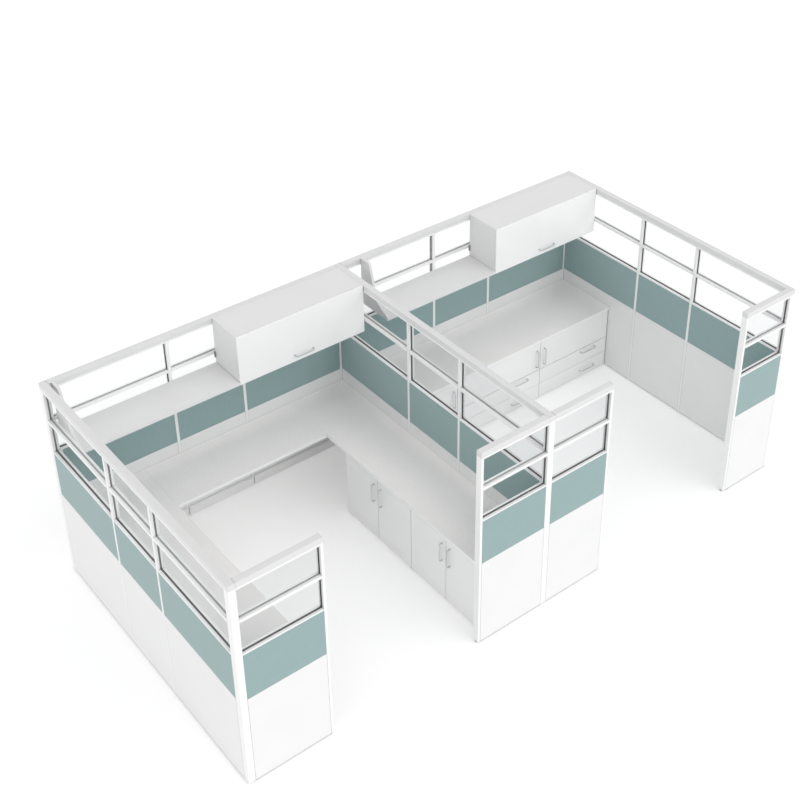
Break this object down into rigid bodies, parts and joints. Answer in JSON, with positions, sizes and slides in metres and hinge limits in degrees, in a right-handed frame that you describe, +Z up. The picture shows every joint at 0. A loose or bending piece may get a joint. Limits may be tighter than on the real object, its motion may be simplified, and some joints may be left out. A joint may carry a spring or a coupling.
{
  "type": "cubicle workstation",
  "caption": "Glazed and fabric-panelled cubicle workstation with worktops, hinged cupboards, drawer units, lift-up overhead cabinets and open shelves.",
  "frame": {"origin": "on the floor, under the middle of the workstation's box", "axes": "+X along the back wall, to the right as seen from the entrances; +Y from the entrances to the back wall; +Z up"},
  "size_m": [5.84, 2.9, 2],
  "materials": {
    "frame_white": "satin powder coat",
    "tinted_glass": "clear float glass with a slight tint",
    "black_rubber": "matt extruded gasket",
    "teal_fabric": "woven panel fabric",
    "white_laminate": "matt white laminate on board",
    "dark_plastic": "moulded nylon",
    "grey_worktop": "satin grey laminate on chipboard",
    "white_edge": "ABS edge band",
    "grey_steel": "satin powder coat",
    "white_melamine": "matt white melamine on chipboard",
    "zinc_steel": "zinc-plated",
    "black_steel": "satin powder coat",
    "white_front": "satin white laminate on fibreboard",
    "satin_metal": "satin nickel"
  },
  "bodies": {
    "workstation": {"corner_posts": "frame_white", "back_wall_frame": "frame_white", "left_wall_frame": "frame_white", "middle_wall_frame": "frame_white", "right_wall_frame": "frame_white", "return_frames": "frame_white", "wall_caps": "frame_white", "back_glass": "tinted_glass", "side_glass": "tinted_glass", "glazing_gaskets": "black_rubber", "fabric_tiles_back": "teal_fabric", "fabric_tiles_side": "teal_fabric", "laminate_tiles_back": "white_laminate", "laminate_tiles_side": "white_laminate", "raceway_covers": "white_laminate", "levelling_feet": "dark_plastic", "left_worktop": "grey_worktop", "right_worktop": "grey_worktop", "worktop_edge_bands": "white_edge", "worktop_brackets": "grey_steel", "support_panel": "white_laminate", "cupboard_cases": "white_melamine", "unit_cases": "white_melamine", "overhead_cases": "white_melamine", "pivot_plates": "zinc_steel", "drawer_runners": "zinc_steel", "open_shelves": "white_melamine", "shelf_end_panels": "white_melamine", "hanging_brackets": "black_steel"},
    "cupboard_door_1_body": {"cupboard_door_1": "white_front", "cupboard_handle_1": "satin_metal"},
    "cupboard_door_2_body": {"cupboard_door_2": "white_front", "cupboard_handle_2": "satin_metal"},
    "cupboard_door_3_body": {"cupboard_door_3": "white_front", "cupboard_handle_3": "satin_metal"},
    "cupboard_door_4_body": {"cupboard_door_4": "white_front", "cupboard_handle_4": "satin_metal"},
    "unit_door_1_body": {"unit_door_1": "white_front", "unit_handle_1": "satin_metal"},
    "unit_door_2_body": {"unit_door_2": "white_front", "unit_handle_2": "satin_metal"},
    "unit_door_3_body": {"unit_door_3": "white_front", "unit_handle_3": "satin_metal"},
    "drawer_1_upper_body": {"drawer_1_upper": "white_front", "drawer_handle_1_upper": "satin_metal"},
    "drawer_1_lower_body": {"drawer_1_lower": "white_front", "drawer_handle_1_lower": "satin_metal"},
    "drawer_2_upper_body": {"drawer_2_upper": "white_front", "drawer_handle_2_upper": "satin_metal"},
    "drawer_2_lower_body": {"drawer_2_lower": "white_front", "drawer_handle_2_lower": "satin_metal"},
    "drawer_3_upper_body": {"drawer_3_upper": "white_front", "drawer_handle_3_upper": "satin_metal"},
    "drawer_3_lower_body": {"drawer_3_lower": "white_front", "drawer_handle_3_lower": "satin_metal"},
    "overhead_front_left_body": {"overhead_front_left": "white_front", "overhead_handle_left": "satin_metal"},
    "overhead_front_right_body": {"overhead_front_right": "white_front", "overhead_handle_right": "satin_metal"}
  },
  "joints": [
    {"name": "cupboard_door_1_hinge", "type": "hinge", "parent": "workstation", "child": "cupboard_door_1_body", "pos_m": [-0.609, -1.372, 0.012], "axis": [0, 0, 1], "range_deg": [0, 85]},
    {"name": "cupboard_door_2_hinge", "type": "hinge", "parent": "workstation", "child": "cupboard_door_2_body", "pos_m": [-0.609, -0.438, 0.012], "axis": [0, 0, -1], "range_deg": [0, 85]},
    {"name": "cupboard_door_3_hinge", "type": "hinge", "parent": "workstation", "child": "cupboard_door_3_body", "pos_m": [-0.609, -0.422, 0.012], "axis": [0, 0, 1], "range_deg": [0, 85]},
    {"name": "cupboard_door_4_hinge", "type": "hinge", "parent": "workstation", "child": "cupboard_door_4_body", "pos_m": [-0.609, 0.512, 0.012], "axis": [0, 0, -1], "range_deg": [0, 85]},
    {"name": "unit_door_1_hinge", "type": "hinge", "parent": "workstation", "child": "unit_door_1_body", "pos_m": [2.847, 0.711, 0.364], "axis": [0, 0, 1], "range_deg": [0, 85]},
    {"name": "unit_door_2_hinge", "type": "hinge", "parent": "workstation", "child": "unit_door_2_body", "pos_m": [0.843, 0.711, 0.364], "axis": [0, 0, -1], "range_deg": [0, 85]},
    {"name": "unit_door_3_hinge", "type": "hinge", "parent": "workstation", "child": "unit_door_3_body", "pos_m": [0.043, 0.711, 0.364], "axis": [0, 0, -1], "range_deg": [0, 85]},
    {"name": "drawer_1_upper_slide", "type": "slide", "parent": "workstation", "child": "drawer_1_upper_body", "axis": [0, -1, 0], "range_m": [0, 0.45]},
    {"name": "drawer_1_lower_slide", "type": "slide", "parent": "workstation", "child": "drawer_1_lower_body", "axis": [0, -1, 0], "range_m": [0, 0.45]},
    {"name": "drawer_2_upper_slide", "type": "slide", "parent": "workstation", "child": "drawer_2_upper_body", "axis": [0, -1, 0], "range_m": [0, 0.45]},
    {"name": "drawer_2_lower_slide", "type": "slide", "parent": "workstation", "child": "drawer_2_lower_body", "axis": [0, -1, 0], "range_m": [0, 0.45]},
    {"name": "drawer_3_upper_slide", "type": "slide", "parent": "workstation", "child": "drawer_3_upper_body", "axis": [0, -1, 0], "range_m": [0, 0.45]},
    {"name": "drawer_3_lower_slide", "type": "slide", "parent": "workstation", "child": "drawer_3_lower_body", "axis": [0, -1, 0], "range_m": [0, 0.45]},
    {"name": "overhead_front_left_hinge", "type": "hinge", "parent": "workstation", "child": "overhead_front_left_body", "pos_m": [-0.69, 0.996, 1.994], "axis": [-1, 0, 0], "range_deg": [0, 90]},
    {"name": "overhead_front_right_hinge", "type": "hinge", "parent": "workstation", "child": "overhead_front_right_body", "pos_m": [2.2, 0.996, 1.994], "axis": [-1, 0, 0], "range_deg": [0, 90]}
  ]
}
